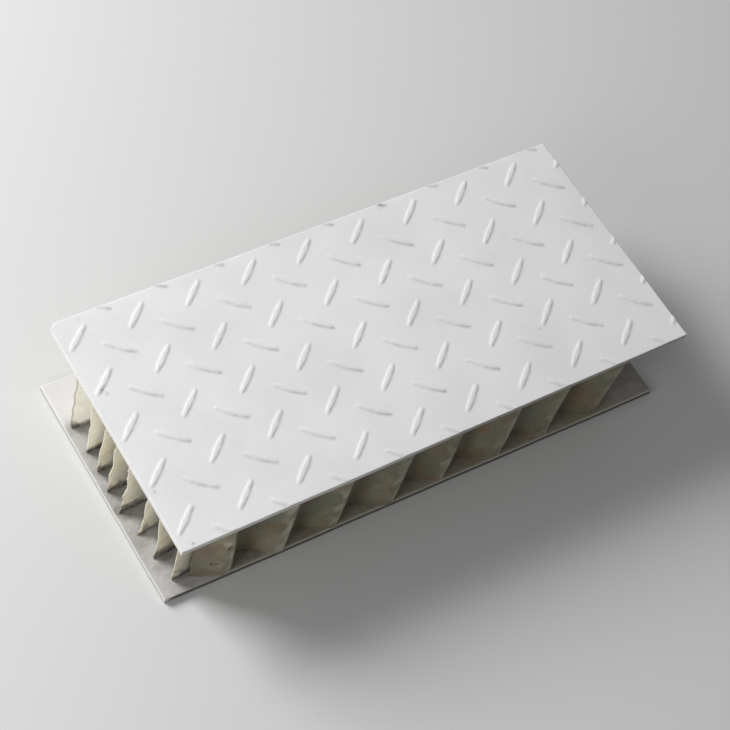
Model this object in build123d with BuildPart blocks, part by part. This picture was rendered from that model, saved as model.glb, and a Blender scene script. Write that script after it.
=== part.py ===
from build123d import *
import math
import os

# Sandwich panel: two glass-fibre skins on a core of upright sheets. Flat core sheets run
# along the panel and folded sheets stand between them. The top skin carries raised tread bars.
# X runs along the panel, Y from the front edge to the back edge, Z up.
# The origin is the centre of the underside. Millimetres.

# Panel over its skins, without the height of the tread
panel_length = 206.0
panel_width = 93.5
panel_thickness = 40.0

# Skins
top_skin_thickness = 2.3
bottom_skin_thickness = 2.3
top_corner_clip = 2.2
bottom_corner_setback = 1.9

# Tread: raised boat-shaped bars in two crossed sets, flat on top with blunt noses
bar_length = 12.4
bar_width = 2.7
bar_nose_length = 0.6
bar_nose_width = 1.5
bar_height = 0.5
bar_flank_angle = 25.0
bar_angle = 40.6
tread_pitch_x = 22.5
tread_pitch_y = 19.0
tread_first_x = 5.7
tread_first_y = 9.85
second_set_back = 0.5

# Flat core sheets
flat_sheet_thickness = 0.8
first_line = 9.4
line_pitch = 9.2
line_wander = 1.2
lines_per_wander = 6.8
wander_start = 1.4
flat_left_recess = 1.5
flat_left_extra = 3.8
set_back_lines = 4
flat_right_recess = 14.5

# Folded core sheets
folded_sheet_thickness = 0.7
fold_pitch = 22.5
fold_flat = 3.5
fold_bend = 1.1
valley_lead = 3.0
ridge_start = 23.5
edge_recess = 1.8
front_fold_left_recess = 10.0
fold_left_recess = 15.6
fold_right_recess = 25.0

# Corner at the back left where the core is torn away
torn_length = 18.5
torn_width = 15.0

# Levels of the core between the skins
core_bottom = bottom_skin_thickness
core_height = panel_thickness - top_skin_thickness - bottom_skin_thickness

# Edges of the panel in its own frame
left = -panel_length / 2
right = panel_length / 2
front = -panel_width / 2
back = panel_width / 2


def line_from_front(number):
    """Middle of a flat sheet; the hand-laid sheets drift a little off an even pitch."""
    drift = math.sin(2 * math.pi * (number - wander_start) / lines_per_wander)
    return first_line + line_pitch * number + line_wander * drift


# As many flat sheets as leave room for one more folded sheet at the back
last_line_limit = panel_width - edge_recess - line_pitch / 2
lines = []
while line_from_front(len(lines)) < last_line_limit:
    lines.append(line_from_front(len(lines)))

os.makedirs("parts", exist_ok=True)

# Bottom skin: a plain sheet whose front edge runs back slightly towards the left end
with BuildPart() as bottom_skin:
    with BuildSketch(Plane.XY):
        with BuildLine():
            Polyline(
                (left, front + bottom_corner_setback),
                (right, front),
                (right, back),
                (left, back),
                close=True,
            )
        make_face()
    extrude(amount=bottom_skin_thickness)
bottom_skin.part.label = "bottom_skin"
export_step(bottom_skin.part, "parts/bottom_skin.step")

# Top skin: the sheet, the tread bars standing on it, then one cut to the panel's outline,
# so that bars on an edge are sawn through with the sheet
sheet_level = panel_thickness - top_skin_thickness
bars_x = math.ceil(panel_length / tread_pitch_x) + 1
bars_y = math.ceil(panel_width / tread_pitch_y) + 2
lattice_x = left + tread_first_x + tread_pitch_x * (bars_x - 1) / 2
lattice_y = front + tread_first_y + tread_pitch_y * (bars_y - 3) / 2
# A bar's outline is a long arc along each side and a blunt nose with bevelled corners
tip = bar_length / 2
nose_x = tip - bar_nose_length
nose_y = bar_nose_width / 2
with BuildSketch() as bar_outline:
    with BuildLine():
        ThreePointArc((-nose_x, -nose_y), (0, -bar_width / 2), (nose_x, -nose_y))
        Polyline((nose_x, -nose_y), (tip, -nose_y / 2), (tip, nose_y / 2), (nose_x, nose_y))
        ThreePointArc((nose_x, nose_y), (0, bar_width / 2), (-nose_x, nose_y))
        Polyline((-nose_x, nose_y), (-tip, nose_y / 2), (-tip, -nose_y / 2), (-nose_x, -nose_y))
    make_face()
with BuildPart() as top_skin:
    with BuildSketch(Plane.XY.offset(sheet_level)):
        Rectangle(panel_length, panel_width)
    extrude(amount=top_skin_thickness)
    # The second set turns the other way and stands half a pitch on and slightly further back
    second_set = (tread_pitch_x / 2, tread_pitch_y / 2 + second_set_back)
    for (step_x, step_y), turn in (((0, 0), bar_angle), (second_set, -bar_angle)):
        with BuildSketch(Plane.XY.offset(panel_thickness)):
            with Locations((lattice_x + step_x, lattice_y + step_y)):
                with GridLocations(tread_pitch_x, tread_pitch_y, bars_x, bars_y):
                    with Locations(Rotation(0, 0, turn)):
                        add(bar_outline.sketch)
        extrude(amount=bar_height, taper=bar_flank_angle)
    with BuildSketch(Plane.XY.offset(sheet_level)) as outline:
        Rectangle(panel_length, panel_width)
        corner = outline.vertices().sort_by(Axis.X)[:2].sort_by(Axis.Y)[-1]
        chamfer(corner, length=top_corner_clip)
    extrude(amount=top_skin_thickness + bar_height, mode=Mode.INTERSECT)
top_skin.part.label = "top_skin"
export_step(top_skin.part, "parts/top_skin.step")


def left_end(line, recess):
    """Left end of a core sheet; sheets in the torn corner start further in."""
    if line > panel_width - torn_width:
        return left + torn_length
    return left + recess


# Flat core sheets, set back further at the left end the nearer they stand to the front
for number, line in enumerate(lines):
    extra = flat_left_extra * max(0.0, 1 - number / set_back_lines)
    start = left_end(line, flat_left_recess + extra)
    end = right - flat_right_recess
    with BuildPart() as flat_sheet:
        with BuildSketch(Plane.XY.offset(core_bottom)):
            with Locations(((start + end) / 2, front + line)):
                Rectangle(end - start, flat_sheet_thickness)
        extrude(amount=core_height)
    name = f"flat_sheet_{number + 1:02d}"
    flat_sheet.part.label = name
    export_step(flat_sheet.part, f"parts/{name}.step")

# Folded core sheets: short flats lie against the sheet in front (ridges) and the sheet behind
# (valleys) in turn, and each fold is blunted by a narrow facet. The valley leads, so the run
# into it is steep and the run out of it is long. Each sheet's ridges stand across a flat sheet
# from the valleys of the sheet before it.
faces = [line + flat_sheet_thickness / 2 for line in lines]
fronts = [edge_recess] + faces
backs = [face - flat_sheet_thickness for face in faces] + [panel_width - edge_recess]
fold_count = math.ceil(panel_length / fold_pitch) + 2
ridge_to_valley = fold_pitch / 2 - valley_lead
for number, (near, far) in enumerate(zip(fronts, backs)):
    near_middle = front + near + folded_sheet_thickness / 2
    far_middle = front + far - folded_sheet_thickness / 2
    phase = ridge_to_valley * number % fold_pitch
    first_ridge = left + ridge_start - fold_pitch * 2 + phase
    path = []
    for fold in range(fold_count):
        ridge = first_ridge + fold * fold_pitch
        valley = ridge + ridge_to_valley
        path += [(ridge - fold_flat, near_middle), (ridge, near_middle)]
        path += [(valley - fold_flat, far_middle), (valley, far_middle)]
    recess = fold_left_recess if number else front_fold_left_recess
    start = left_end(near, recess)
    end = right - fold_right_recess
    with BuildPart() as folded_sheet:
        with BuildSketch(Plane.XY.offset(core_bottom)):
            with BuildLine() as folds:
                Polyline(path)
                chamfer(folds.vertices().sort_by(Axis.X)[1:-1], length=fold_bend)
            trace(line_width=folded_sheet_thickness)
            with Locations(((start + end) / 2, 0)):
                Rectangle(end - start, panel_width, mode=Mode.INTERSECT)
        extrude(amount=core_height)
    name = f"folded_sheet_{number + 1:02d}"
    folded_sheet.part.label = name
    export_step(folded_sheet.part, f"parts/{name}.step")
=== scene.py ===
import math

import bpy
import numpy as np
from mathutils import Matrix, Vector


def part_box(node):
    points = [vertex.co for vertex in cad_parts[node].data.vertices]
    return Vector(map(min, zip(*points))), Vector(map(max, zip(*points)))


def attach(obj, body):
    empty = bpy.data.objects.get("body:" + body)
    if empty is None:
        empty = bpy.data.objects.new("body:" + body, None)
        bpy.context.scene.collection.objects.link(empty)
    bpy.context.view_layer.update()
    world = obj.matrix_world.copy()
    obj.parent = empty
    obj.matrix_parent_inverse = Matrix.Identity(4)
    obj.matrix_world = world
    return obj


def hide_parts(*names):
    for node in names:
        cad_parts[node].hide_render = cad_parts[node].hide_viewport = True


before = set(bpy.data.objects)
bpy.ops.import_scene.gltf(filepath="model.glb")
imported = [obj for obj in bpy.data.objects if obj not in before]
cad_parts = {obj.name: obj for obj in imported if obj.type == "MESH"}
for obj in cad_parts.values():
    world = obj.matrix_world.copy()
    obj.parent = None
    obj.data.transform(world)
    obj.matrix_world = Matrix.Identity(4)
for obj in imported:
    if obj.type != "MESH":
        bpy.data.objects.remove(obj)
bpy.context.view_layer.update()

mm = 0.001  # shapes are worked out in millimetres and stored in metres


def cadBox(node):
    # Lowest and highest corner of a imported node, in millimetres.
    low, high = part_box(node)
    return np.array(low) / mm, np.array(high) / mm


topLow, topHigh = cadBox("top_skin")
bottomLow, bottomHigh = cadBox("bottom_skin")
leftEnd = bottomLow[0]
coreFoot = bottomHigh[2]
coreTop = topLow[2]
coreMiddle = (coreFoot + coreTop) / 2


def wander(x, y, z, wavelength, seed, waves=14, paces=(0.7, 1.5), calm=0.9):
    # Smooth drift: a sum of sine waves in seeded directions, each near one wavelength,
    # divided so that the result mostly lies between -1 and 1.
    rng = np.random.default_rng(seed)
    way = rng.normal(size=(waves, 3))
    way /= np.linalg.norm(way, axis=1)[:, None]
    pace = 2 * math.pi / (wavelength * rng.uniform(*paces, waves))
    start = rng.uniform(0, 2 * math.pi, waves)
    total = 0.0
    for k in range(waves):
        onward = way[k, 0] * x + way[k, 1] * y + way[k, 2] * z
        total = total + np.sin(onward * pace[k] + start[k])
    return total / math.sqrt(waves * calm)


def drifting(x, y, z, *layers, number=0):
    # Sum of drifts, each with its own size, wavelength and seed, the seed counted on by number.
    return sum(size * wander(x, y, z, length, seed + number) for size, length, seed in layers)


def ragged(t, step, seed, uneven=0.35):
    # Torn line: random heights at uneven steps, joined by straight runs, from -1 to 1.
    rng = np.random.default_rng(seed)
    low, high = float(np.min(t)), float(np.max(t))
    knots = np.arange(low, high + 2 * step, step)
    knots = knots + rng.uniform(-uneven, uneven, len(knots)) * step
    return np.interp(t, np.sort(knots), rng.uniform(-1, 1, len(knots)))


def tearing(t, number, layers):
    # Sum of torn lines, each with its own size, step and seed, likewise.
    return sum(size * ragged(t, step, seed + number) for size, step, seed in layers)


def smoothStep(low, high, t):
    # 0 below low, 1 above high, and 3s2 - 2s3 between.
    s = np.clip((t - low) / (high - low), 0, 1)
    return s * s * (3 - 2 * s)


def fade(low, high, t):
    # 1 below low and 0 above high: what smoothStep leaves.
    return 1 - smoothStep(low, high, t)


def rising(t, size, low, high):
    # 0 below low, the size above high, and eased between.
    return size * smoothStep(low, high, t)


def bell(t, width):
    # Bell curve: exp(-(t / width)^2), which is 1 at 0.
    return np.exp(-((t / width) ** 2))


def spread(fineEnds, count, length, reach=0.22):
    # Places from 0 to length, close together at both ends and wider in the middle: the running
    # sum of steps that pass from the first fine step to a middle step and on to the last fine
    # step, each end fading out as a bell curve.
    k = np.linspace(0, 1, count - 1)
    nearStart, nearEnd = bell(k, reach), bell(1 - k, reach)
    fine = nearStart * fineEnds[0] + nearEnd * fineEnds[1]
    rest = (1 - nearStart - nearEnd).clip(0)
    steps = fine + rest * (length - fine.sum()) / rest.sum()
    places = np.concatenate([[0], np.cumsum(steps)])
    return places * length / places[-1]


def addObject(name, data):
    # A new object in the scene, at the origin.
    thing = bpy.data.objects.new(name, data)
    bpy.context.scene.collection.objects.link(thing)
    return thing


def meshObject(name, points, faces, marks, faceFinish, sharpOver):
    # Points in millimetres become a mesh in metres. Each mark is a value per point that the
    # materials read; edges that turn by more than sharpOver degrees stay sharp.
    mesh = bpy.data.meshes.new(name)
    mesh.from_pydata((points * mm).tolist(), [], faces)
    for label, values in marks.items():
        layer = mesh.attributes.new(label, "FLOAT", "POINT")
        layer.data.foreach_set("value", values.astype(np.float32).ravel())
    mesh.shade_smooth()
    mesh.set_sharp_from_angle(angle=math.radians(sharpOver))
    if faceFinish is not None:
        mesh.polygons.foreach_set("material_index", np.asarray(faceFinish, np.int32))
    mesh.update()
    return addObject(name, mesh)


def gridQuads(rows, columns, first=0, flip=False):
    # Corner numbers of every cell of a grid stored row after row.
    k = first + np.arange(rows * columns).reshape(rows, columns)
    quads = np.stack([k[:-1, :-1], k[:-1, 1:], k[1:, 1:], k[1:, :-1]], -1).reshape(-1, 4)
    return quads[:, ::-1] if flip else quads


def bandQuads(ringA, ringB):
    # Cells between two closed loops of equal count.
    nextA, nextB = np.roll(ringA, -1), np.roll(ringB, -1)
    return np.stack([ringA, ringB, nextB, nextA], -1)


def borderLoop(rows, columns):
    # Corner numbers round the edge of a grid, counter-clockwise seen from above.
    k = np.arange(rows * columns).reshape(rows, columns)
    return np.concatenate([k[0, :-1], k[:-1, -1], k[-1, :0:-1], k[:0:-1, 0]])


def dress(piece, nodeName, slotName, *materials):
    # Materials, body and imported node of a finished piece; slotName is not used.
    for material in materials:
        piece.data.materials.append(material)
    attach(piece, "root")
    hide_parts(nodeName)


def feed(tree, value, socket):
    # A socket takes either a plain value or another node's output.
    if isinstance(value, bpy.types.NodeSocket):
        tree.links.new(value, socket)
    else:
        socket.default_value = value


def put(tree, kind, settings=None, **sockets):
    # One shader node: its settings, then its sockets by name without spaces.
    node = tree.nodes.new(kind)
    for key, value in (settings or {}).items():
        setattr(node, key, value)
    for key, value in sockets.items():
        target = next(s for s in node.inputs if s.enabled and s.name.replace(" ", "") == key)
        feed(tree, value, target)
    return node


def joined(tree, kind, settings, *values):
    # One shader node whose sockets are fed in their order.
    node = put(tree, kind, settings)
    for socket, value in zip(node.inputs, values):
        feed(tree, value, socket)
    return node.outputs[0]


def sums(tree, operation, a, b=0.0, clamp=False):
    # One math node, held between 0 and 1 where clamp is set.
    return joined(tree, "ShaderNodeMath", {"operation": operation, "use_clamp": clamp}, a, b)


def times(tree, a, b):
    # a b
    return sums(tree, "MULTIPLY", a, b)


def plus(tree, a, b):
    # a + b
    return sums(tree, "ADD", a, b)


def between(tree, mask, low, high=1.0):
    # A mask's 0 and 1 moved to low and high: low + (high - low) mask.
    return plus(tree, times(tree, mask, high - low), low)


def blendOf(tree, share, a, b):
    # Colour a where the share is 0, colour b where it is 1.
    node = put(tree, "ShaderNodeMix", {"data_type": "RGBA"})
    feed(tree, share, node.inputs[0])
    feed(tree, a, node.inputs[6])
    feed(tree, b, node.inputs[7])
    return node.outputs[2]


def layered(tree, base, *coats):
    # Colours laid over one another, each by its own share.
    for share, colour in coats:
        base = blendOf(tree, share, base, colour)
    return base


def rampOf(tree, value, low, high, way="LINEAR"):
    # 0 at low and 1 at high, straight or eased between.
    settings = {"clamp": True, "interpolation_type": way}
    return joined(tree, "ShaderNodeMapRange", settings, value, low, high)


def newGroup(name, inputs):
    # A node group with a Vector input, an input for each default value, and a Mask output.
    group = bpy.data.node_groups.new(name, "ShaderNodeTree")
    group.interface.new_socket("Vector", in_out="INPUT", socket_type="NodeSocketVector")
    for label, value in inputs.items():
        kind = "NodeSocketVector" if isinstance(value, tuple) else "NodeSocketFloat"
        group.interface.new_socket(label, in_out="INPUT", socket_type=kind).default_value = value
    group.interface.new_socket("Mask", in_out="OUTPUT", socket_type="NodeSocketFloat")
    have = group.nodes.new("NodeGroupInput").outputs
    return group, have, group.nodes.new("NodeGroupOutput").inputs["Mask"]


def makeMottle():
    # Soft cloudy patches of a size in metres: noise, 0 below Low and 1 above High.
    defaults = {"Size": 0.02, "Detail": 4.0, "Low": 0.35, "High": 0.65}
    group, have, give = newGroup("mottle", defaults)
    scale = sums(group, "DIVIDE", 1.0, have["Size"])
    noise = put(group, "ShaderNodeTexNoise", None, Vector=have["Vector"], Scale=scale,
                Detail=have["Detail"], Roughness=0.6)
    level = rampOf(group, noise.outputs[0], have["Low"], have["High"], "SMOOTHSTEP")
    group.links.new(level, give)
    return group


speckEdge = {"bends": 4.0, "bend": 0.0006, "hardness": 2.5}  # bends per spacing, metres, gain


def makeSpecks():
    # Sparse round spots: the near centres of a cell pattern, kept only where a cell's random
    # value is over Rarity, with edges bent by fine noise.
    group, have, give = newGroup("specks", {"Spacing": 0.006, "Radius": 0.08, "Rarity": 0.8})
    scale = sums(group, "DIVIDE", 1.0, have["Spacing"])
    bent = put(group, "ShaderNodeTexNoise", None, Vector=have["Vector"],
               Scale=times(group, scale, speckEdge["bends"]), Detail=2.0)
    vectorMath = "ShaderNodeVectorMath"
    shift = put(group, vectorMath, {"operation": "SCALE"}, Vector=bent.outputs["Color"],
                Scale=speckEdge["bend"])
    moved = joined(group, vectorMath, {"operation": "ADD"}, have["Vector"], shift.outputs[0])
    cells = put(group, "ShaderNodeTexVoronoi", None, Vector=moved, Scale=scale)
    split = put(group, "ShaderNodeSeparateColor", None, Color=cells.outputs["Color"])
    far = sums(group, "DIVIDE", cells.outputs["Distance"], have["Radius"])
    near = sums(group, "SUBTRACT", 1.0, far, True)
    kept = sums(group, "GREATER_THAN", split.outputs[0], have["Rarity"])
    spot = sums(group, "MULTIPLY", near, speckEdge["hardness"], True)
    group.links.new(times(group, spot, kept), give)
    return group


def makeFibres():
    # Short chopped strands: noise of a width in metres, pulled long where Stretch is small.
    group, have, give = newGroup("fibres", {"Width": 0.0006, "Stretch": (0.12, 0.12, 1.0)})
    multiply = {"operation": "MULTIPLY"}
    pulled = joined(group, "ShaderNodeVectorMath", multiply, have["Vector"], have["Stretch"])
    scale = sums(group, "DIVIDE", 1.0, have["Width"])
    noise = put(group, "ShaderNodeTexNoise", None, Vector=pulled, Scale=scale,
                Detail=3.0, Roughness=0.55, Distortion=0.4)
    group.links.new(rampOf(group, noise.outputs[0], 0.3, 0.7), give)
    return group


mottle, specks, fibres = makeMottle(), makeSpecks(), makeFibres()


def newMaterial(name, fixed):
    # A material, its nodes, its shader's sockets, and a function that puts one of the patterns
    # above into it with its own values, at the place on the object in metres.
    material = bpy.data.materials.new(name)
    material.use_nodes = True
    tree = material.node_tree
    shader = next(n for n in tree.nodes if n.type == "BSDF_PRINCIPLED")
    for key, value in fixed.items():
        shader.inputs[key].default_value = value
    spot = put(tree, "ShaderNodeTexCoord").outputs["Object"]

    def pattern(group, values):
        node = put(tree, "ShaderNodeGroup", {"node_tree": group}, Vector=spot)
        for key, value in values.items():
            node.inputs[key].default_value = value
        return node.outputs[0]

    return material, tree, shader.inputs, pattern


def mark(tree, name):
    # A piece's own mark, as meshObject stored it.
    return put(tree, "ShaderNodeAttribute", {"attribute_name": name}).outputs["Fac"]


def patchyMark(tree, name, pattern, least):
    # A mark broken up by a pattern, where at least a share of it is left: m (l + (1 - l) p).
    return times(tree, mark(tree, name), between(tree, pattern, least))


def surfaceOf(tree, inputs, colour, height, strength, distance):
    # The shader's colour, and its normals tilted as if the surface rose by height times distance.
    node = put(tree, "ShaderNodeBump", None, Height=height, Strength=strength, Distance=distance)
    tree.links.new(colour, inputs["Base Color"])
    tree.links.new(node.outputs[0], inputs["Normal"])


gelcoat = {
    "white": (0.80, 0.80, 0.80, 1.0),
    "dull": (0.745, 0.745, 0.75, 1.0),
    # painted highlight: the bright line along the front edge
    "worn": (0.93, 0.93, 0.93, 1.0),
    # grime and painted shade on the shaded side of the bars
    "grime": (0.40, 0.39, 0.37, 1.0),
    "dirt": (0.22, 0.20, 0.18, 1.0),
    "clouds": {"Size": 0.03, "Low": 0.3, "High": 0.7},
    "grimePatches": {"Size": 0.004, "Low": 0.35, "High": 0.65}, "grimeLeast": 0.4, "grimeShare": 0.45,
    "spots": {"Spacing": 0.011, "Radius": 0.05, "Rarity": 0.9}, "spotShare": 0.3,
    "smudges": {"Size": 0.0022, "Low": 0.3, "High": 0.55},
    "dullPatches": {"Size": 0.004, "Low": 0.3, "High": 0.7}, "roughness": (0.42, 0.54),
    "peel": {"Size": 0.0016, "Detail": 2.0, "Low": 0.2, "High": 0.8}, "bump": (0.2, 0.00005),
    "surface": {"Specular IOR Level": 0.4},
}


def makeGelcoat():
    # Satin white moulded face: faint clouds, grime and painted shade on the shaded side of the bars,
    # a few dirty marks, and a painted highlight along the sawn edge.
    material, tree, inputs, pattern = newMaterial("treadGelcoat", gelcoat["surface"])
    patches = pattern(mottle, gelcoat["grimePatches"])
    foot = patchyMark(tree, "barFoot", patches, gelcoat["grimeLeast"])
    spots = times(tree, pattern(specks, gelcoat["spots"]), gelcoat["spotShare"])
    stain = times(tree, mark(tree, "stain"), pattern(mottle, gelcoat["smudges"]))
    colour = layered(
        tree, gelcoat["white"], (pattern(mottle, gelcoat["clouds"]), gelcoat["dull"]),
        # grime and painted shade along the bars' shaded flanks
        (times(tree, foot, gelcoat["grimeShare"]), gelcoat["grime"]),
        (sums(tree, "MAXIMUM", spots, stain), gelcoat["dirt"]),
        # painted highlight along the front edge, where the arris mark is set
        (mark(tree, "arris"), gelcoat["worn"]),
    )
    dull = pattern(mottle, gelcoat["dullPatches"])
    tree.links.new(between(tree, dull, *gelcoat["roughness"]), inputs["Roughness"])
    surfaceOf(tree, inputs, colour, pattern(mottle, gelcoat["peel"]), *gelcoat["bump"])
    return material


laminate = {
    "light": (0.71, 0.70, 0.675, 1.0),
    "lightGap": (0.56, 0.55, 0.525, 1.0),
    # painted shade: a darker copy of the edge colour, for edges that face away from the lamps
    "dusk": (0.175, 0.17, 0.14, 1.0),
    "duskGap": (0.095, 0.09, 0.075, 1.0),
    "ply": 0.00046, "plyShare": 0.35,
    "drift": {"Size": 0.01, "Low": 0.2, "High": 0.8},
    "strands": {"Width": 0.0005, "Stretch": (0.15, 0.15, 1.0)},
    "surface": {"Roughness": 0.75}, "bump": (0.5, 0.0001),
}


def makeLaminateEdge():
    # Sawn edge of a skin: thin level plies, a sine wave of the height, broken by fibres and dust, in
    # its lit colour on the left end and with painted shade round the other sides.
    material, tree, inputs, pattern = newMaterial("sawnLaminate", laminate["surface"])
    spot = put(tree, "ShaderNodeTexCoord").outputs["Object"]
    level = put(tree, "ShaderNodeSeparateXYZ", None, Vector=spot).outputs[2]
    ply = sums(tree, "DIVIDE", level, laminate["ply"])
    turn = times(tree, plus(tree, ply, pattern(mottle, laminate["drift"])), 2 * math.pi)
    plies = between(tree, sums(tree, "SINE", turn), 0.5)
    strands, share = pattern(fibres, laminate["strands"]), laminate["plyShare"]
    both = plus(tree, times(tree, plies, share), times(tree, strands, 1 - share))
    clean = blendOf(tree, both, laminate["lightGap"], laminate["light"])
    # painted shade: a darker copy of the plies
    shadedPlies = blendOf(tree, both, laminate["duskGap"], laminate["dusk"])
    colour = blendOf(tree, mark(tree, "dusk"), clean, shadedPlies)
    surfaceOf(tree, inputs, colour, both, *laminate["bump"])
    return material


inner = {
    "clean": (0.685, 0.675, 0.68, 1.0),
    "dust": (0.66, 0.65, 0.62, 1.0),
    # glue: adhesive, also used for painted shadows on the floor
    "glue": (0.225, 0.205, 0.175, 1.0),
    "grey": (0.36, 0.35, 0.33, 1.0),
    "scuff": (0.60, 0.58, 0.56, 1.0),
    # cut: painted highlight for the bright upper arris of the front edge
    "cut": (0.56, 0.54, 0.49, 1.0),
    # resin: brown of resin and painted shade deeper in the panel
    "resin": (0.29, 0.245, 0.17, 1.0),
    "strands": {"Width": 0.0007, "Stretch": (0.3, 1.0, 1.0)}, "strandBump": 0.4,
    "patches": {"Size": 0.009, "Detail": 5.0, "Low": 0.3, "High": 0.7},
    "greyLeast": 0.65, "resinLeast": 0.6,
    "scuffs": {"Size": 0.0022, "Detail": 6.0, "Low": 0.52, "High": 0.66}, "scuffShare": 0.5,
    "smears": {"Size": 0.0035, "Detail": 6.0, "Low": 0.4, "High": 0.6}, "glueLeast": 0.7,
    "surface": {"Roughness": 0.65}, "bump": (0.4, 0.0002),
}


def makeInnerSkin():
    # Inner face of a skin: whitish laminate, then grey patches with scuffs, smears of adhesive with
    # painted shadows, brownish resin with painted shade deeper in, and a painted highlight along the
    # cut edge, each laid over the last by its mark.
    material, tree, inputs, pattern = newMaterial("innerLaminate", inner["surface"])
    strands, patches = pattern(fibres, inner["strands"]), pattern(mottle, inner["patches"])
    scuffs = times(tree, pattern(mottle, inner["scuffs"]), mark(tree, "grey"))
    smear = pattern(mottle, inner["smears"])
    colour = layered(
        tree, inner["clean"], (strands, inner["dust"]),
        (patchyMark(tree, "grey", patches, inner["greyLeast"]), inner["grey"]),
        (times(tree, scuffs, inner["scuffShare"]), inner["scuff"]),
        (patchyMark(tree, "glue", smear, inner["glueLeast"]), inner["glue"]),
        (patchyMark(tree, "resin", patches, inner["resinLeast"]), inner["resin"]),
        # painted highlight along the cut front edge
        (mark(tree, "arris"), inner["cut"]),
    )
    fine = plus(tree, times(tree, strands, inner["strandBump"]), scuffs)
    lumps = times(tree, smear, mark(tree, "glue"))
    surfaceOf(tree, inputs, colour, plus(tree, lumps, fine), *inner["bump"])
    return material


core = {
    "cream": (0.95, 0.93, 0.855, 1.0),
    "tan": (0.87, 0.84, 0.735, 1.0),
    # deep: painted shade deep in the panel, also the fibres' tone
    "deep": (0.395, 0.375, 0.31, 1.0),
    # olive, brown and dark: a darker copy of the cream for the outer folded sheets, partly resin-wet
    # and partly painted shade
    "olive": (0.345, 0.315, 0.22, 1.0),
    "brown": (0.22, 0.19, 0.125, 1.0),
    "dark": (0.15, 0.135, 0.10, 1.0),
    "rust": (0.26, 0.165, 0.09, 1.0),
    "moss": (0.20, 0.215, 0.165, 1.0),
    # ridge: pale ridges, partly scuffed and partly painted highlight
    "ridge": (0.62, 0.60, 0.51, 1.0),
    # foot: wetted by the bond, and painted shade where the sheet meets the floor
    "foot": (0.115, 0.108, 0.092, 1.0),
    "spot": (0.07, 0.045, 0.025, 1.0),
    "edge": (0.24, 0.225, 0.195, 1.0),
    "soak": {"Size": 0.014, "Detail": 5.0, "Low": 0.36, "High": 0.66},
    "warm": {"Size": 0.0065, "Detail": 5.0, "Low": 0.5, "High": 0.66},
    "cool": {"Size": 0.0095, "Detail": 5.0, "Low": 0.5, "High": 0.64}, "coolGain": 1.2,
    "strands": {"Width": 0.0005, "Stretch": (1.0, 1.0, 0.1)}, "strandShare": 0.12,
    "torn": {"Size": 0.003, "Detail": 5.0, "Low": 0.4, "High": 0.6}, "tornBump": 0.6,
    "ridgeLeast": 0.6, "footLeast": 0.7,
    "spots": {"Spacing": 0.008, "Radius": 0.09, "Rarity": 0.86}, "spotShare": 0.6,
    "surface": {"Roughness": 0.62, "Specular IOR Level": 0.3,
                "Subsurface Radius": (1.0, 0.94, 0.82), "Subsurface Scale": 0.0017},
    "bump": (0.25, 0.0001),
    "finishes": {  # sheet, its clouds, painted shade deep in the panel, ridges, how clear, how tinted
        "coreCream": ("cream", "tan", "deep", "cream", 0.9, 0.04),
        "coreOlive": ("olive", "brown", "dark", "ridge", 0.3, 0.65),
        "corePlain": ("olive", "brown", "dark", "ridge", 0.3, 0.2),
    },
}


def makeCoreSheet(name):
    # Resin-stiffened sheet: cloudy soaking, faint upright fibres, a dark ragged foot where the bond
    # wetted it and shade is painted, small brown spots, painted shade deep in the panel, and pale
    # ridges, partly scuffed and partly a painted highlight.
    *colours, clear, tint = core["finishes"][name]
    light, cloud, deep, ridged = [core[colour] for colour in colours]
    surface = {**core["surface"], "Subsurface Weight": clear}
    material, tree, inputs, pattern = newMaterial(name, surface)
    strands, torn = pattern(fibres, core["strands"]), pattern(mottle, core["torn"])
    spots = times(tree, pattern(specks, core["spots"]), core["spotShare"])
    colour = layered(
        # the deep mark lays painted shade over the clouds
        tree, light, (pattern(mottle, core["soak"]), cloud), (mark(tree, "deep"), deep),
        (times(tree, pattern(mottle, core["warm"]), tint), core["rust"]),
        (times(tree, pattern(mottle, core["cool"]), core["coolGain"] * tint), core["moss"]),
        (times(tree, strands, core["strandShare"]), deep),
        # pale ridges: scuffing and painted highlight
        (patchyMark(tree, "ridge", torn, core["ridgeLeast"]), ridged),
        # dark foot: partly wetted, partly painted shade
        (patchyMark(tree, "foot", torn, core["footLeast"]), core["foot"]),
        (sums(tree, "MAXIMUM", spots, times(tree, mark(tree, "stain"), torn)), core["spot"]),
        (mark(tree, "end"), core["edge"]),
    )
    height = plus(tree, strands, times(tree, torn, core["tornBump"]))
    surfaceOf(tree, inputs, colour, height, *core["bump"])
    return material


treadGelcoat, sawnLaminate, innerLaminate = makeGelcoat(), makeLaminateEdge(), makeInnerSkin()
# the outer folded sheets' olive colours are partly painted shade
coreCream, coreOlive, corePlain = [makeCoreSheet(name) for name in core["finishes"]]
print("materials made")


sawing = {
    "wavelengths": (30, 25, 20, 22),  # of the front, back, left and right edge
    "lipDepth": 0.7,  # how far down the edge a sawn bar still shows
}


def skinPlan(low, high, u, v, inset, edge):
    # Place on a skin's plan for u along and v across, each from 0 to 1: the panel's rectangle less
    # the inset, its edges pulled in by a faint saw wander, its back-left corner clipped and its
    # front edge set back towards the left.
    def saw(t, side):
        waver = wander(t, 0, 0, sawing["wavelengths"][side], edge["seed"] + side)
        return edge["wave"] * np.clip(1 + waver, 0, None)

    x = low[0] + u * (high[0] - low[0])
    y = low[1] + v * (high[1] - low[1])
    pullFront = saw(x, 0) + edge["frontSetback"] * (1 - u)
    pullBack = saw(x, 1)
    pullLeft = saw(y, 2) + np.clip(y - (high[1] - edge["clip"]), 0, None)
    pullRight = saw(y, 3)
    x = low[0] + pullLeft + inset + u * (high[0] - low[0] - pullLeft - pullRight - 2 * inset)
    y = low[1] + pullFront + inset + v * (high[1] - low[1] - pullFront - pullBack - 2 * inset)
    return x, y


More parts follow.
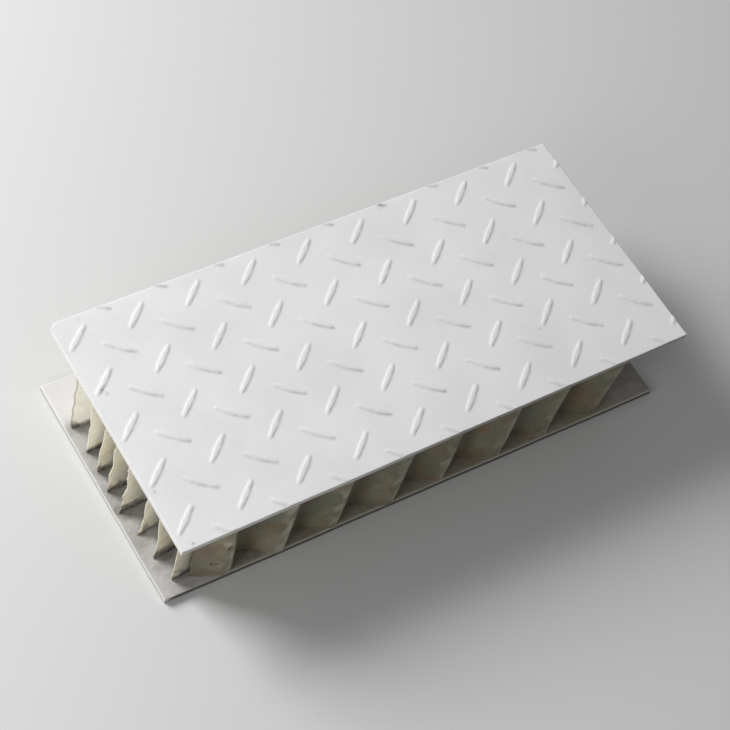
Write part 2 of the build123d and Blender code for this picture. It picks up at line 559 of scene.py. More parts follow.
def makeSkin(name, low, high, edge, relief, marksOf):
    # A closed slab: a grid for its upper face, moved and raised by the relief, loops down its sawn
    # edge, and one face below.
    columns, rows, thickness = edge["columns"], edge["rows"], edge["thickness"]
    topZ, arris = low[2] + thickness, edge["arris"]
    u, v = np.meshgrid(np.linspace(0, 1, columns), np.linspace(0, 1, rows))
    x, y, rise = relief(*skinPlan(low, high, u, v, arris, edge))
    points = [np.stack([x, y, topZ + rise], -1).reshape(-1, 3)]
    faces = [gridQuads(rows, columns)]
    loop = borderLoop(rows, columns)
    around, across, lip = u.ravel()[loop], v.ravel()[loop], rise.ravel()[loop]
    ring, count = loop, rows * columns
    for inset, drop in edge["rings"]:
        x, y = skinPlan(low, high, around, across, inset * arris, edge)
        depth = drop * thickness
        z = topZ - depth + lip * fade(0, sawing["lipDepth"], depth)
        points.append(np.stack([x, y, z], -1))
        newRing = count + np.arange(len(loop))
        faces.append(bandQuads(ring, newRing))
        ring, count = newRing, count + len(loop)
    points = np.concatenate(points)
    quads = np.concatenate(faces).tolist()
    faced = (rows - 1) * (columns - 1) + edge["facedRings"] * len(loop)
    finishes = [0] * faced + [1] * (len(quads) - faced) + [2]
    quads.append(ring[::-1].tolist())
    return meshObject(name, points, quads, marksOf(points), finishes, edge["sharpOver"])


tread = {
    "pitch": (22.5, 19.0), "first": (5.7, 9.85),  # first bar from the left and front edges
    "setBack": 0.5,  # the second set stands this much behind the half pitch
    "angle": 40.6,  # one set turned each way
    "halfLength": 5.85, "middle": 0.96, "nose": 0.45,  # half widths at mid flank
    "corner": 0.4, "flank": 0.5, "noseFlank": 1.1, "noseFrom": (-1.3, 0.2), "height": 0.175,
    "draw": 0.24, "drawSpan": 2.2, "drawPast": (-0.2, 1.2),  # how grid lines gather on the flanks
    "drawFrom": (0.1, 1.4),  # and how near the panel's edges they start to
    "wobble": [(0.055, 3.2, 9), (0.045, 1.3, 10)],  # of a bar's outline: size, wavelength, seed
    "warp": (0.012, 35, 5),  # of the whole face, likewise
    "crowdReach": 42,  # bars near the left end stand off the lattice
    "crowdOnward": (0.85, 0.4), "crowdBack": (0.1, -1.1),  # at the front edge, change to the back
}


def crowding(x, y):
    # The bars near the left end stand a little further in, and those at the back a little nearer
    # the front: a bell curve along the panel, times a straight change across it.
    share = (y - topLow[1]) / (topHigh[1] - topLow[1])
    near = bell(x - topLow[0], tread["crowdReach"])
    moves = (tread["crowdOnward"], tread["crowdBack"])
    return [(start + change * share) * near for start, change in moves]


def nearestBar(x, y, second):
    # Along and across place of each point on the nearest bar of one set: the lattice place is
    # rounded to whole bars, and what is left is turned by the bar's angle.
    px, py = tread["pitch"]
    onward, backward = crowding(x, y)
    dx = x - topLow[0] - onward - tread["first"][0] - second * px / 2
    dy = y - topLow[1] - backward - tread["first"][1] - second * (py / 2 + tread["setBack"])
    dx, dy = dx - px * np.round(dx / px), dy - py * np.round(dy / py)
    turn = math.radians(-tread["angle"] if second else tread["angle"])
    along = dx * math.cos(turn) + dy * math.sin(turn)
    return along, dy * math.cos(turn) - dx * math.sin(turn), turn


def barSide(along):
    # Half width, which falls from the middle to the nose with the square of the place along.
    share = np.clip(np.abs(along) / tread["halfLength"], 0, 1)
    return tread["middle"] - (tread["middle"] - tread["nose"]) * share ** 2


def barReach(along, across):
    # Distance outside the line half way down the flank, negative inside: that of a box with
    # rounded corners whose sides follow the half width.
    qa = np.abs(along) - tread["halfLength"] + tread["corner"]
    qb = np.abs(across) - barSide(along) + tread["corner"]
    return np.hypot(qa.clip(0), qb.clip(0)) + np.minimum(np.maximum(qa, qb), 0) - tread["corner"]


def gather(distance, edge):
    # Moves a line towards an edge within half a span of it: -A sin(2 pi (d - e) / span).
    off = np.clip((distance - edge) / tread["drawSpan"], -0.5, 0.5)
    return -tread["draw"] * np.sin(2 * math.pi * off)


def flankWidth(x, y):
    # Narrow along the sides of a bar and wider round its noses.
    past = [np.abs(nearestBar(x, y, second)[0]) - tread["halfLength"] for second in (False, True)]
    nose = np.maximum(*[smoothStep(*tread["noseFrom"], reach) for reach in past])
    return tread["flank"] + (tread["noseFlank"] - tread["flank"]) * nose


def treadRelief(x, y):
    # Grid lines are first gathered on the bars' flanks, then the bars are raised: full height
    # inside, nothing outside, and a smooth flank between.
    insideX = np.minimum(x - topLow[0], topHigh[0] - x)
    insideY = np.minimum(y - topLow[1], topHigh[1] - y)
    free = smoothStep(*tread["drawFrom"], np.minimum(insideX, insideY))
    moveX, moveY = 0.0, 0.0
    for second in (False, True):
        along, across, turn = nearestBar(x, y, second)
        side = barSide(along)
        pastNose = smoothStep(*tread["drawPast"], np.abs(along) - tread["halfLength"])
        pastSide = smoothStep(*tread["drawPast"], np.abs(across) - side)
        outward = np.sign(across) * gather(np.abs(across), side) * (1 - pastNose) * free
        onward = np.sign(along) * gather(np.abs(along), tread["halfLength"]) * (1 - pastSide) * free
        moveX = moveX + onward * math.cos(turn) - outward * math.sin(turn)
        moveY = moveY + onward * math.sin(turn) + outward * math.cos(turn)
    x, y = x + moveX, y + moveY
    reach = np.minimum(*[barReach(*nearestBar(x, y, second)[:2]) for second in (False, True)])
    reach = reach + drifting(x, y, 0, *tread["wobble"])
    rise = tread["height"] * fade(-0.5, 0.5, reach / flankWidth(x, y))
    warp = drifting(x, y, 0, tread["warp"]) - tread["warp"][0]
    return x, y, np.minimum(rise + warp, tread["height"])


treadDirt = {
    # grime and painted shade on the front, shaded side of each bar
    "grime": (1.05, 1.5), "grimeReach": 0.5,  # at the bars of the first and the second set
    "shadySide": (-0.4, 0.4), "toRight": 0.25, "toRightOver": 5,
    # painted shade on the sawn edge, growing to the right
    "leftEdge": 0.7, "leftFade": (0.1, 0.5), "dusk": (0.5, 60, 120),
    "wornFade": (0.15, 0.5), "wornFrom": (0, 2), "wornAbove": 1.2,  # painted highlight along the front edge
    "stains": [  # x from the left, y from the front, reach, strength
        (4.9, 1.4, 0.95, 0.75), (2.5, 22.8, 1.0, 0.4), (131.8, 92.2, 1.8, 0.9), (5.9, 64.6, 0.9, 0.4),
        (4.7, 63.6, 1.0, 0.75), (3.2, 62.7, 0.8, 0.45), (5.7, 61.5, 1.3, 0.6), (10.2, 91.3, 1.0, 0.2),
    ],
}


def treadMarks(points):
    # Grime and painted shade lie on the front, shaded side of each bar, a bell curve of the distance
    # outside its flank, and thicken to the right on the second set. Stains and edges fade smoothly
    # with distance.
    x, y, z = points.T
    fromLeft, fromFront = x - topLow[0], y - topLow[1]
    grime = 0.0
    for second, strength in enumerate(treadDirt["grime"]):
        along, across, turn = nearestBar(x, y, second)
        share = treadDirt["toRight"]
        length = 1 - share + share * second * np.clip(along / treadDirt["toRightOver"], -1, 1)
        side = smoothStep(*treadDirt["shadySide"], -across) * length
        near = bell(barReach(along, across), treadDirt["grimeReach"])
        grime = np.maximum(grime, strength * side * near)
    grime = np.maximum(grime, treadDirt["leftEdge"] * fade(*treadDirt["leftFade"], fromLeft))
    stain = 0.0
    for sx, sy, reach, strength in treadDirt["stains"]:
        away = np.hypot(fromLeft - sx, fromFront - sy)
        stain = np.maximum(stain, strength * fade(0, reach, away))
    # painted highlight: a bright line along the front edge of the face
    worn = fade(*treadDirt["wornFade"], fromFront) * smoothStep(*treadDirt["wornFrom"], fromLeft)
    return {
        "barFoot": grime, "stain": stain,
        "arris": worn * (z > topLow[2] + treadDirt["wornAbove"]),
        "dusk": rising(fromLeft, *treadDirt["dusk"]),
    }


topEdge = {
    "thickness": 2.3, "columns": 441, "rows": 199, "arris": 0.08, "wave": 0.03, "clip": 2.2,
    "frontSetback": 0.0, "sharpOver": 55, "facedRings": 2, "seed": 11,
    "rings": [(0.3, 0.015), (0.0, 0.04), (0.3, 0.35), (0.0, 0.55), (0.3, 0.78), (0.0, 0.94),
              (0.8, 1.0)],  # shares of the arris inwards and of the thickness down
}
topSkin = makeSkin("topSkin", topLow, topHigh, topEdge, treadRelief, treadMarks)
dress(topSkin, "top_skin", "tread_skin", treadGelcoat, sawnLaminate, innerLaminate)
print("top skin:", len(topSkin.data.polygons), "faces")


def packedSheets(stem, count):
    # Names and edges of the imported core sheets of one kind, front to back.
    sheets = []
    for number in range(1, count + 1):
        node = f"{stem}_{number:02d}"
        low, high = cadBox(node)
        sheets.append({"node": node, "front": low[1], "line": (low[1] + high[1]) / 2, "back": high[1],
                       "start": low[0], "end": high[0]})
    return sheets


flats, folds = packedSheets("flat_sheet", 9), packedSheets("folded_sheet", 10)

innerDirt = {
    "line": 0.6, "lineWidth": 1.6, "lineFrom": (-2, 3),  # adhesive and painted shade along a flat sheet's foot
    "lineDrift": (0.8, 18, 31),  # size, wavelength, seed
    # some smears are painted shadows cast by the flat sheets on the floor
    "smears": [  # x from the left, y from the front, reach along and across, strength
        (9, 5, 6, 4, 0.3), (9.6, 7.2, 3.2, 1.5, 0.95), (9.0, 16.2, 3.5, 2.0, 0.95),
        (3.4, 34.9, 2.6, 1.7, 1.0), (5.0, 27.6, 3, 1.6, 0.7), (2.2, 38, 3.0, 3.2, 0.95),
        (3.6, 44.5, 2.5, 1.8, 0.5), (4.5, 14, 3, 2.5, 0.35), (3.5, 24, 3, 2, 0.4),
    ],
    "smearFade": (0.4, 1.1),
    "film": (0.8, 12, 24), "filmDrift": (0.8, 9, 32),  # all over, deeper in: partly adhesive, partly painted shade
    "greyFade": (70, 82), "greyDrift": (1.0, 8, 33), "greyFront": 0.75, "greyFrom": (8, 30),
    # resin and painted shade deeper in the panel, less at the right end
    "resin": (0.75, 20, 40), "resinLess": (0.75, 180, 190),
    "cutFade": (0.25, 0.6), "cutFrom": (8, 30), "cutAbove": 1.2,  # painted highlight along the front edge
    "duskFrom": (0.3, 4.0),  # painted shade on the sawn edge: none on the left end, full past its corner
    # painted shade on the lower part of the sawn edge, where the contact shadow falls
    "lowDusk": 0.6, "lowFade": (0.4, 1.6),
    "lumps": (0.06, 2.5, 41),  # size, wavelength, seed
}


def glueAndShadeOn(x, y):
    # Adhesive and painted shade for a place from the left and front: a bell curve across each flat
    # sheet's line, smears near the left end, some of them painted shadows of the sheets, and a film
    # that comes in deeper in the panel.
    glue = 0.0
    for sheet in flats:
        line = sheet["line"] - bottomLow[1] + drifting(x, sheet["line"], 0, innerDirt["lineDrift"])
        inFrom = smoothStep(*innerDirt["lineFrom"], x - (sheet["start"] - leftEnd))
        glue = np.maximum(glue, innerDirt["line"] * inFrom * bell(y - line, innerDirt["lineWidth"]))
    for px, py, rx, ry, strength in innerDirt["smears"]:
        away = np.hypot((x - px) / rx, (y - py) / ry)
        glue = np.maximum(glue, strength * fade(*innerDirt["smearFade"], away))
    film = rising(x + drifting(x, y, 0, innerDirt["filmDrift"]), *innerDirt["film"])
    return np.maximum(glue, film)


def innerMarks(points):
    # Besides its adhesive and painted shadows the face greys from the back towards the front and is
    # browner deeper in, partly resin and partly painted shade. The sawn edge gets painted shade past
    # the left corner and towards its foot.
    x, y, z = points.T - np.array([[leftEnd], [bottomLow[1]], [0]])
    nearFront = fade(*innerDirt["greyFade"], y + drifting(x, y, 0, innerDirt["greyDrift"]))
    share = innerDirt["greyFront"]
    grey = nearFront * (share + (1 - share) * smoothStep(*innerDirt["greyFrom"], y))
    resin = rising(x, *innerDirt["resin"]) * (1 - rising(x, *innerDirt["resinLess"]))
    fromEdge = y - bottomEdge["frontSetback"] * (1 - x / (bottomHigh[0] - leftEnd))
    # painted highlight along the face's front edge
    cut = fade(*innerDirt["cutFade"], fromEdge) * smoothStep(*innerDirt["cutFrom"], x)
    # painted shade at the foot of the sawn edge
    low = innerDirt["lowDusk"] * fade(*innerDirt["lowFade"], z)
    return {
        "glue": glueAndShadeOn(x, y), "grey": grey, "resin": resin,
        "arris": cut * (z > innerDirt["cutAbove"]),
        "dusk": np.maximum(smoothStep(*innerDirt["duskFrom"], x), low),
        "barFoot": 0 * x, "stain": 0 * x,
    }


def innerRelief(x, y):
    # Flat but for small lumps of adhesive: the glue-and-shade mask times a drift, never over the CAD
    # level.
    glue = glueAndShadeOn(x - leftEnd, y - bottomLow[1])
    lump = glue * drifting(x, y, 0, innerDirt["lumps"])
    return x, y, np.minimum(lump - innerDirt["lumps"][0], 0)


bottomEdge = {
    "thickness": 2.3, "columns": 261, "rows": 121, "arris": 0.18, "wave": 0.05, "clip": 0.0,
    "frontSetback": 1.9, "sharpOver": 40, "facedRings": 1, "seed": 23,
    "rings": [(0.35, 0.02), (0.0, 0.07), (0.35, 0.3), (0.0, 0.5), (0.3, 0.72), (0.0, 0.94),
              (0.8, 1.0)],
}
bottomSkin = makeSkin("bottomSkin", bottomLow, bottomHigh, bottomEdge, innerRelief, innerMarks)
dress(bottomSkin, "bottom_skin", "plain_skin", innerLaminate, sawnLaminate, treadGelcoat)
print("bottom skin:", len(bottomSkin.data.polygons), "faces")


upright = {
    "fineRise": (0.3, 0.3), "sharpOver": 50,
    "thinBy": 0.45, "thinOver": 0.9,  # at the torn ends
    "fillet": 0.35, "filletOver": 0.7, "filletDrift": (0.5, 5, 71), "topFillet": 0.7,
    "bendX": (0.25, 45, 51), "bendY": (0.35, 38, 52),  # size, wavelength, seed
    "footTear": (0.6, 1.5, 0), "footDrift": (0.4, 4), "footFade": (0.1, 1.5), "footLeast": 0.2,
}


def risingTo(rows):
    # Heights of a core sheet's rows, close together at its foot and top.
    return coreFoot + spread(upright["fineRise"], rows, coreTop - coreFoot)


def uprightSheet(name, thickness, path, heights, startAt, endAt, places, bend, marksOf):
    # A thin upright sheet: a path in plan (distance, x, y) carried up through the heights. Each row
    # runs from its own start to its own end along the path, so both ends can be torn. The two
    # faces stand half the thickness off the middle; the thickness swells as exp(-h / over) at foot
    # and top, and thins likewise at the torn ends.
    along, px, py = path
    z = np.repeat(heights[:, None], len(places), 1)
    s = startAt[:, None] + places[None, :] * (endAt - startAt)[:, None]
    x, y = np.interp(s, along, px), np.interp(s, along, py)
    tx, ty = np.interp(s, along, np.gradient(px, along)), np.interp(s, along, np.gradient(py, along))
    size = np.hypot(tx, ty)
    nx, ny = -ty / size, tx / size
    moveX, moveY = bend(x, y, z)
    x, y = x + moveX, y + moveY
    toEnd = np.minimum(s - startAt[:, None], endAt[:, None] - s)
    thin = 1 - upright["thinBy"] * np.exp(-toEnd / upright["thinOver"])
    atFoot, atTop = [np.exp(-np.abs(z - level) / upright["filletOver"]) for level in heights[[0, -1]]]
    swell = atFoot * (1 + drifting(x, y, 0, upright["filletDrift"])) + upright["topFillet"] * atTop
    half = thickness / 2 * thin + upright["fillet"] * swell
    rows, columns = z.shape
    points = [np.stack([x + k * half * nx, y + k * half * ny, z], -1).reshape(-1, 3) for k in (-1, 1)]
    loop = borderLoop(rows, columns)
    total = rows * columns
    faces = [gridQuads(rows, columns), gridQuads(rows, columns, total, flip=True)]
    quads = np.concatenate(faces + [bandQuads(loop, loop + total)]).tolist()
    marks = {key: np.tile(value.ravel(), 2) for key, value in marksOf(s, x, y, z, toEnd).items()}
    return meshObject(name, np.concatenate(points), quads, marks, None, upright["sharpOver"])


def sharedBend(x, y, z):
    # All the core sheets drift together, so that neighbours stay against each other.
    return drifting(x, y, z, upright["bendX"]), drifting(x, y, z, upright["bendY"])


def footMark(z, x, seed, height):
    # 1 at the foot, 0 above a ragged line.
    size, wavelength = upright["footDrift"]
    line = 1 + tearing(x, seed, [upright["footTear"]]) + size * wander(x, 0, z, wavelength, seed)
    line = np.maximum(height * line, upright["footLeast"])
    return fade(*upright["footFade"], (z - coreFoot) / line)


flatShape = {
    "thickness": 0.62, "rows": 72, "columns": 96, "fineStep": (0.4, 0.9),
    "span": (-20.0, 220.0),  # of the line that carries it, from the left edge
    "leftTear": [(0.24, 1.9, 100), (0.16, 0.8, 200), (0.06, 0.4, 250)],  # size, step, seed
    "rightTear": [(0.5, 2.0, 300), (0.2, 0.5, 400)], "leftLeast": 0.3, "rightSetback": 0.7,
    "freeLength": 15, "crinkle": (0.3, 11, 60), "sway": 0.3, "swayHeight": 11,
    "footRise": 0.7, "footRiseOver": 3, "endFade": (0.1, 0.7),
    # painted shade deeper in the panel, sooner on the front sheet
    "deep": 0.85, "deepFrom": (7, 26), "frontDeepFrom": (5.5, 9), "deepDrift": (1.5, 12, 900),
}

tornEnds = [
    # Front to back: how far the free end leans to the back, height of the dark foot (wetted and
    # painted shade), how rough the tear is, how dark its cut is, how dark the whole sheet is (its
    # tone and painted shade from the sheets behind it), and the end's outline as (height, distance
    # from the left edge)
    (-0.6, 3.4, 0.6, 0.35, 0.72, [(0, 5.6), (6, 5.2), (16, 5.1), (26, 5.6), (36, 5.3)]),
    (-1.2, 3.6, 0.5, 0.35, 0.53, [(0, 4.0), (5, 4.4), (13, 3.7), (23, 3.0), (36, 2.8)]),
    (-1.2, 2.8, 0.5, 0.35, 0.46, [(0, 3.3), (3, 4.7), (9, 4.9), (15, 4.1), (20, 4.6), (26, 5.9),
                                  (36, 6.1)]),
    (-0.6, 3.4, 1.6, 0.4, 0.3, [(0, 1.3), (3, 2.3), (7, 3.1), (10, 2.2), (15, 2.8), (22, 2.8),
                                (36, 2.3)]),
    (-1.5, 3.6, 0.6, 0.35, 0.42, [(0, 1.7), (7, 1.8), (12, 1.5), (19, 1.5), (27, 1.3), (36, 1.8)]),
    (-1.8, 2.6, 0.8, 0.4, 0.36, [(0, 2.2), (3, 1.5), (6, 1.8), (11, 1.4), (14, 0.8), (19, 1.4),
                                 (24, 1.6), (30, 2.1), (36, 2.2)]),
    (-1.1, 1.8, 0.5, 0.4, 0.18, [(0, 2.5), (9, 2.1), (20, 1.7), (30, 1.0), (36, 0.8)]),
    (1.0, 1.6, 0.4, 0.9, 0.0, [(0, 1.9), (5, 1.8), (13, 1.7), (21, 1.4), (27, 1.2), (36, 0.9)]),
    (0.3, 1.6, 1.0, 0.3, 0.1, [(0, 18.0), (8, 19.2), (15, 18.6), (24, 20.0), (36, 19.0)]),
]


def makeFlatSheet(number, sheet, leanBy, footHeight, rough, cut, toneAndShade, outline):
    # A straight upright sheet. Its left end follows the torn outline plus torn lines, and leans
    # by a share that fades smoothly along the free length.
    heights = risingTo(flatShape["rows"])
    span = np.array(flatShape["span"])
    path = (span, span + leftEnd, np.full(2, sheet["line"]))
    startAt = np.interp(heights - coreFoot, *zip(*outline))
    startAt = startAt + rough * tearing(heights, number, flatShape["leftTear"])
    startAt = np.maximum(startAt, flatShape["leftLeast"])
    endAt = sheet["end"] - leftEnd - flatShape["rightSetback"]
    endAt = endAt + tearing(heights, number, flatShape["rightTear"])
    length = sheet["end"] - sheet["start"]
    places = spread(flatShape["fineStep"], flatShape["columns"], length) / length

    def bend(x, y, z):
        moveX, moveY = sharedBend(x, y, z)
        free = fade(0, flatShape["freeLength"], x - leftEnd)
        crinkle = free * drifting(x, z, number * 7, flatShape["crinkle"], number=number)
        sway = flatShape["sway"] * np.sin((z - coreFoot) / flatShape["swayHeight"] + number)
        lean = leanBy * free * (1 - flatShape["sway"] + sway)
        return moveX * (1 - free), moveY + lean + crinkle

    def marksOf(s, x, y, z, toEnd):
        # dark foot: where the bond wetted it, and painted shade in the corner with the floor
        darkFootHeight = footHeight * (1 + flatShape["footRise"] * bell(toEnd, flatShape["footRiseOver"]))
        inward = x - leftEnd + drifting(x, y, z, flatShape["deepDrift"], number=number)
        deepFrom = flatShape["deepFrom"] if number else flatShape["frontDeepFrom"]
        return {
            "foot": footMark(z, x, 500 + number, darkFootHeight),
            "end": cut * fade(*flatShape["endFade"], toEnd),
            # painted shade: each sheet's darkness, and more deeper in the panel
            "deep": np.maximum(toneAndShade, rising(inward, flatShape["deep"], *deepFrom)),
            "ridge": 0 * z, "stain": 0 * z,
        }

    piece = uprightSheet(f"flatSheet{number + 1:02d}", flatShape["thickness"], path, heights,
                         startAt, endAt, places, bend, marksOf)
    dress(piece, sheet["node"], "core_sheet", coreCream)


for number, (sheet, torn) in enumerate(zip(flats, tornEnds)):
    makeFlatSheet(number, sheet, *torn)
print("flat sheets made")


fold = {
    "thickness": 0.6, "clearance": 0.05, "pitch": 22.5, "flat": 3.5, "round": 0.6, "valleyLead": 3.0,
    "ridgeStart": 23.5, "folds": 13, "sampleStep": 0.25, "roundSamples": 12,
    "leftTear": [(0.4, 2.3, 600), (0.15, 0.6, 650)], "leftSetback": 0.55,  # size, step, seed
    "rightTear": (2.3, 700), "rightFineTear": (0.3, 0.6, 750),  # torn, below, is the first's size
    # deep: painted shade deeper in the panel
    "foot": 1.3, "deep": (0.8, 2, 22),
    # the olive finishes of the outer sheets are partly painted shade
    "front": {"rows": 64, "columns": 520, "finish": coreOlive, "foot": 0.25, "torn": 0.3},
    "inner": {"rows": 34, "columns": 190, "finish": coreCream, "foot": 1.0, "torn": 1.0},
    "back": {"rows": 64, "columns": 380, "finish": corePlain, "foot": 0.25, "torn": 1.0},
}
ridgeToValley = fold["pitch"] / 2 - fold["valleyLead"]

frontFold = {
    "ridges": [  # place along the panel, drift, lean per mm of height
        (0, 0, 0), (23.5, 0.5, -0.11), (46, 0.25, 0.02), (68.5, -0.9, 0.02), (91, 0.75, 0.04),
        (113.5, -1.4, 0.02), (136, 0.5, -0.03), (158.5, -0.5, 0), (181, 1.5, 0),
    ],
    "lastFlap": 0.4, "lastFlapLean": 0.09,  # its last flap leans out at its top
    "mostForward": -0.5,
    "brownSpots": [(18.1, 11.8, 1.8, 1.5), (21.8, 21.7, 1.5, 1.4)],  # x, height, reach, strength
    "spotFade": (0.2, 1), "spotTall": 1.3,
}

wearLightAndShade = {
    # band: scuffing and painted highlight; crest: painted highlight; shade: painted shade
    "band": 4.2, "bandTear": (1.0, 2.1, 950), "bandDrift": (0.8, 6, 960), "bandFade": (0.55, 1.1),
    "bandPatches": (0.45, 9, 970), "bandShare": 0.8,  # drifts are size, wavelength, seed
    "others": 0.6, "frontLess": (0.45, 40, 90),
    "crestAt": 0.8, "crestWidth": 0.45, "crestPatches": (0.3, 7, 980), "crestShare": 0.8,
    "crestLess": (0.6, 8, 20),
    "seamHeight": 0.5, "seamFade": (3, 12), "seamPatches": (0.4, 8, 985), "seamShare": 0.7,
    "shade": (0.4, 50, 110), "shadeFold": (0.25, 0.95),  # painted shade of the outer two
    "endShade": 0.8, "endShadeFade": (0.5, 4.5), "endShadeUpTo": 60,
}


def foldPath(near, far, phase):
    # Zigzag with short flats: corner points joined by straight runs, sampled evenly and then
    # smoothed by a bell-shaped running mean, which rounds the folds.
    first = leftEnd + fold["ridgeStart"] - 2 * fold["pitch"] + phase
    ridge = np.arange(fold["folds"]) * fold["pitch"] + first
    valley = ridge + ridgeToValley
    flat = fold["flat"]
    cornersX = np.stack([ridge - flat, ridge, valley - flat, valley], -1).ravel()
    cornersY = np.tile([near, near, far, far], len(ridge))
    runs = np.concatenate([[0], np.cumsum(np.hypot(np.diff(cornersX), np.diff(cornersY)))])
    step, half = fold["sampleStep"], fold["roundSamples"]
    along = np.arange(0, runs[-1], step)
    x, y = np.interp(along, runs, cornersX), np.interp(along, runs, cornersY)
    weights = bell(np.arange(-half, half + 1) * step, math.sqrt(2) * fold["round"])
    weights /= weights.sum()
    x, y = np.convolve(x, weights, "valid"), np.convolve(y, weights, "valid")
    along = np.concatenate([[0], np.cumsum(np.hypot(np.diff(x), np.diff(y)))])
    return along, x, y


def scuffedAndLitRidge(x, y, z, number, before):
    # How pale a fold is, for the distance before it: a torn band, partly scuffing and partly painted
    # highlight, a thin crest of painted highlight that fades upwards, and a seam along the foot, each
    # broken into patches by a drift.
    band = wearLightAndShade["band"] + tearing(z, number, [wearLightAndShade["bandTear"]])
    band = band + drifting(x, y, z, wearLightAndShade["bandDrift"])
    size, wavelength, seed = wearLightAndShade["bandPatches"]
    patches = 1 - size + size * wander(x, y, z, wavelength, seed).clip(-1, 1)
    ridge = fade(*wearLightAndShade["bandFade"], before / band) * patches
    ridge = ridge * (wearLightAndShade["others"] if number else 1 - rising(x - leftEnd, *wearLightAndShade["frontLess"]))
    rise = z - coreFoot
    crest = bell((before + 1) % fold["pitch"] - 1 - wearLightAndShade["crestAt"], wearLightAndShade["crestWidth"])
    crest = crest * (1 - rising(rise, *wearLightAndShade["crestLess"]))
    crest = crest * (wearLightAndShade["crestShare"] + drifting(x, y, z, wearLightAndShade["crestPatches"]))
    seam = bell(rise, wearLightAndShade["seamHeight"]) * fade(*wearLightAndShade["seamFade"], before)
    seam = seam * (1 - wearLightAndShade["seamPatches"][0] + drifting(x, y, z, wearLightAndShade["seamPatches"]))
    palest = np.maximum(np.maximum(wearLightAndShade["bandShare"] * ridge, crest), wearLightAndShade["seamShare"] * seam)
    return np.clip(palest, 0, 1)


def makeFoldedSheet(number, sheet):
    # A zigzag upright sheet between the faces of its neighbours, its ends torn along its path.
    # Each sheet's ridges stand across a flat sheet from the valleys of the sheet before it.
    side = {0: "front", len(folds) - 1: "back"}.get(number, "inner")
    own = fold[side]
    gap = fold["thickness"] / 2 + fold["clearance"]
    phase = ridgeToValley * number % fold["pitch"]
    path = foldPath(sheet["front"] + gap, sheet["back"] - gap, phase)
    along, px, py = path
    heights = risingTo(own["rows"])
    startAt = np.interp(sheet["start"], px, along) + fold["leftSetback"]
    startAt = startAt + tearing(heights, number, fold["leftTear"])
    endAt = np.interp(sheet["end"], px, along) - own["torn"]
    rightTear = [(-own["torn"], *fold["rightTear"]), fold["rightFineTear"]]
    endAt = endAt + tearing(heights, number, rightTear)
    if side == "front":
        endAt = endAt + frontFold["lastFlap"] + frontFold["lastFlapLean"] * (heights - coreMiddle)
    places = np.linspace(0, 1, own["columns"])

    def bend(x, y, z):
        moveX, moveY = sharedBend(x, y, z)
        if side == "front":
            spots, drifts, leans = zip(*frontFold["ridges"])
            lean = np.interp(x - leftEnd, spots, leans) * (z - coreMiddle)
            moveX = moveX + np.interp(x - leftEnd, spots, drifts) + lean
            moveY = np.maximum(moveY, frontFold["mostForward"])
        return moveX, moveY

    def marksOf(s, x, y, z, toEnd):
        fromLeft = x - leftEnd
        depth = (np.interp(s, along, py) - sheet["front"]) / (sheet["back"] - sheet["front"])
        depth = np.clip(depth, 0, 1)
        seen = leftEnd + fold["ridgeStart"] + phase
        if side == "back":
            depth, seen = 1 - depth, seen + ridgeToValley
        before = (seen - np.interp(s, along, px)) % fold["pitch"]
        stain = 0 * z
        if side == "front":
            for sx, sz, reach, strength in frontFold["brownSpots"]:
                away = np.hypot(fromLeft - sx, (z - sz) / frontFold["spotTall"]) / reach
                stain = np.maximum(stain, strength * fade(*frontFold["spotFade"], away))
        # painted shade deeper in the panel, and on the outer two also in the valleys, to the right
        # and at the left end
        share, *deepFrom = fold["deep"]
        deep = smoothStep(*deepFrom, fromLeft)
        if side != "inner":
            shade = rising(fromLeft, *wearLightAndShade["shade"])
            atEnd = fade(*wearLightAndShade["endShadeFade"], toEnd) * (s < wearLightAndShade["endShadeUpTo"])
            shade = shade + wearLightAndShade["endShade"] * atEnd
            deep = np.maximum(smoothStep(*wearLightAndShade["shadeFold"], depth), shade)
        return {
            "foot": own["foot"] * footMark(z, x, 800 + number, fold["foot"]),
            "ridge": scuffedAndLitRidge(x, y, z, number, before),
            "end": 0 * z, "deep": share * deep, "stain": stain,
        }

    piece = uprightSheet(f"foldedSheet{number + 1:02d}", fold["thickness"], path, heights,
                         startAt, endAt, places, bend, marksOf)
    dress(piece, sheet["node"], "core_sheet", own["finish"])


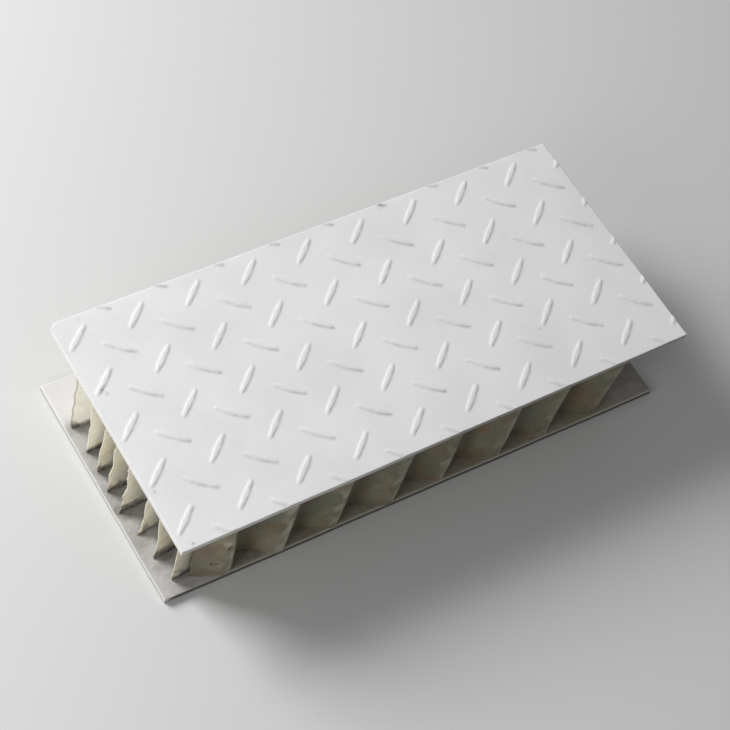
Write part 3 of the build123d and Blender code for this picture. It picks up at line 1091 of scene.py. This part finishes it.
for number, sheet in enumerate(folds):
    makeFoldedSheet(number, sheet)
print("folded sheets made")


studio = {
    "floorReach": 6.0, "floorLevel": -0.0002,
    "floor": {"Base Color": (0.66, 0.66, 0.66, 1.0), "Roughness": 0.9},
    "lamps": [  # name, place, aim, size, power
        ("backLight", (-0.52, 0.70, 0.56), (-0.03, 0, 0.02), 0.5, 12.9),
        ("leftLight", (-0.60, -0.16, 0.34), (-0.1, 0, 0.02), 0.3, 1.0),
    ],
    "air": (1, 1, 1, 1), "airStrength": 0.21,
}

reach, level = studio["floorReach"], studio["floorLevel"]
floorMesh = bpy.data.meshes.new("floor")
corners = [(x * reach, y * reach, level) for x, y in ((-1, -1), (1, -1), (1, 1), (-1, 1))]
floorMesh.from_pydata(corners, [], [(0, 1, 2, 3)])
floor = addObject("floor", floorMesh)
floor.data.materials.append(newMaterial("paleFloor", studio["floor"])[0])


# Square lamps, each turned to face its aim
for name, spot, aim, size, power in studio["lamps"]:
    light = bpy.data.lights.new(name, "AREA")
    light.size, light.energy = size, power
    lamp = addObject(name, light)
    lamp.location = spot
    way = np.array(aim) - np.array(spot)
    tilt = math.atan2(math.hypot(way[0], way[1]), -way[2])
    lamp.rotation_euler = (tilt, 0, math.atan2(way[1], way[0]) - math.pi / 2)

world = bpy.data.worlds.new("studio")
world.use_nodes = True
backdrop = world.node_tree.nodes["Background"].inputs
backdrop["Color"].default_value = studio["air"]
backdrop["Strength"].default_value = studio["airStrength"]
bpy.context.scene.world = world

view = {
    "lens": 93.2092, "film": 36.0, "shift": (0.099754, 0.105534),
    "spot": (-0.294063, -0.254192, 0.561590), "turn": (31.1082, -10.2806, -30.4279),
}
cameraData = bpy.data.cameras.new("camera")
cameraData.lens, cameraData.sensor_width = view["lens"], view["film"]
cameraData.shift_x, cameraData.shift_y = view["shift"]
camera = addObject("camera", cameraData)
camera.location = view["spot"]
camera.rotation_euler = [math.radians(a) for a in view["turn"]]
bpy.context.scene.camera = camera
bpy.context.scene.view_settings.view_transform = "Standard"
print("stage set")
